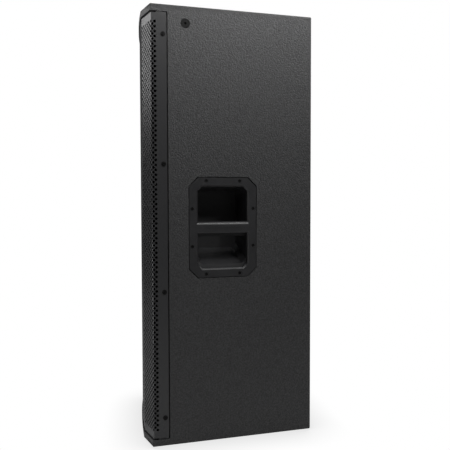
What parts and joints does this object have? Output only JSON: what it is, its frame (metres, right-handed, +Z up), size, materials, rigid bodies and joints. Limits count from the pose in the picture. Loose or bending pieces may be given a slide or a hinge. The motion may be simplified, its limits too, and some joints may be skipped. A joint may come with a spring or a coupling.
{
  "type": "loudspeaker cabinet",
  "caption": "Tall floor-standing two-way PA loudspeaker: tapered plywood case, bowed perforated grille, side bar handles, horn and woofers.",
  "frame": {"origin": "on the floor under the middle of the case", "axes": "+Z up; -Y out of the grille towards the listener; +X to the right of someone facing along +Y, from the listener towards the cabinet"},
  "size_m": [0.43, 0.4663, 1.144],
  "materials": {
    "coating": "textured black coating on plywood",
    "raw_plywood": "thin black stain on plywood",
    "grille_paint": "black powder coat on perforated steel",
    "black_screw": "black oxide",
    "handle_plastic": "moulded, fine matt grain",
    "insert_steel": "black plated steel",
    "foot_rubber": "plain",
    "basket_aluminium": "die cast, black lacquer",
    "surround_rubber": "treated cloth roll",
    "cone_paper": "coated paper pulp",
    "spider_cloth": "resin-treated cloth",
    "copper": "enamelled winding wire",
    "pole_steel": "turned, plated",
    "ferrite": "ground ferrite",
    "horn_plastic": "moulded, satin",
    "diaphragm_metal": "formed foil",
    "input_paint": "black powder coat",
    "socket_plastic": "moulded, dark blue-black",
    "board_material": "fibreboard",
    "capacitor_film": "film wrap",
    "resistor_ceramic": "cement case",
    "damping_felt": "needled polyester felt",
    "grille_foam": "open-cell acoustic foam, black",
    "cable_jacket": "round flexible cable"
  },
  "bodies": {
    "cabinet": {"top_panel": "coating", "bottom_panel": "coating", "left_side_panel": "coating", "right_side_panel": "coating", "rear_panel": "coating", "front_baffle": "raw_plywood", "upper_brace": "raw_plywood", "lower_brace": "raw_plywood", "grille": "grille_paint", "grille_screws": "black_screw", "handle_screws": "black_screw", "woofer_screws": "black_screw", "horn_screws": "black_screw", "input_plate_screws": "black_screw", "foot_screws": "black_screw", "rigging_plug_screws": "black_screw", "left_handle": "handle_plastic", "right_handle": "handle_plastic", "rigging_inserts": "insert_steel", "feet": "foot_rubber", "lower_basket": "basket_aluminium", "upper_basket": "basket_aluminium", "lower_surround": "surround_rubber", "upper_surround": "surround_rubber", "lower_spider": "spider_cloth", "upper_spider": "spider_cloth", "crossover_coils": "copper", "lower_front_plate": "pole_steel", "upper_front_plate": "pole_steel", "lower_back_plate": "pole_steel", "upper_back_plate": "pole_steel", "driver_pole_plate": "pole_steel", "driver_top_plate": "pole_steel", "lower_magnet": "ferrite", "upper_magnet": "ferrite", "driver_magnet": "ferrite", "horn": "horn_plastic", "port_tubes": "horn_plastic", "driver_phase_plug": "horn_plastic", "driver_cover": "horn_plastic", "input_plate": "input_paint", "input_socket": "socket_plastic", "link_socket": "socket_plastic", "crossover_board": "board_material", "crossover_capacitors": "capacitor_film", "crossover_resistors": "resistor_ceramic", "damping_pads": "damping_felt", "grille_foam": "grille_foam", "input_lead": "cable_jacket", "lower_woofer_lead": "cable_jacket", "upper_woofer_lead": "cable_jacket", "driver_lead": "cable_jacket"},
    "lower_cone_assembly": {"lower_cone": "cone_paper", "lower_dust_cap": "cone_paper", "lower_voice_coil": "copper"},
    "upper_cone_assembly": {"upper_cone": "cone_paper", "upper_dust_cap": "cone_paper", "upper_voice_coil": "copper"},
    "driver_diaphragm_assembly": {"driver_diaphragm": "diaphragm_metal", "driver_coil": "copper"}
  },
  "joints": [
    {"name": "lower_cone_stroke", "type": "slide", "parent": "cabinet", "child": "lower_cone_assembly", "axis": [0, 1, 0], "range_m": [-0.008, 0.008], "stiffness_N_per_m": 4000},
    {"name": "upper_cone_stroke", "type": "slide", "parent": "cabinet", "child": "upper_cone_assembly", "axis": [0, 1, 0], "range_m": [-0.008, 0.008], "stiffness_N_per_m": 4000},
    {"name": "driver_diaphragm_stroke", "type": "slide", "parent": "cabinet", "child": "driver_diaphragm_assembly", "axis": [0, 1, 0], "range_m": [-0.0004, 0.0004], "stiffness_N_per_m": 20000}
  ]
}
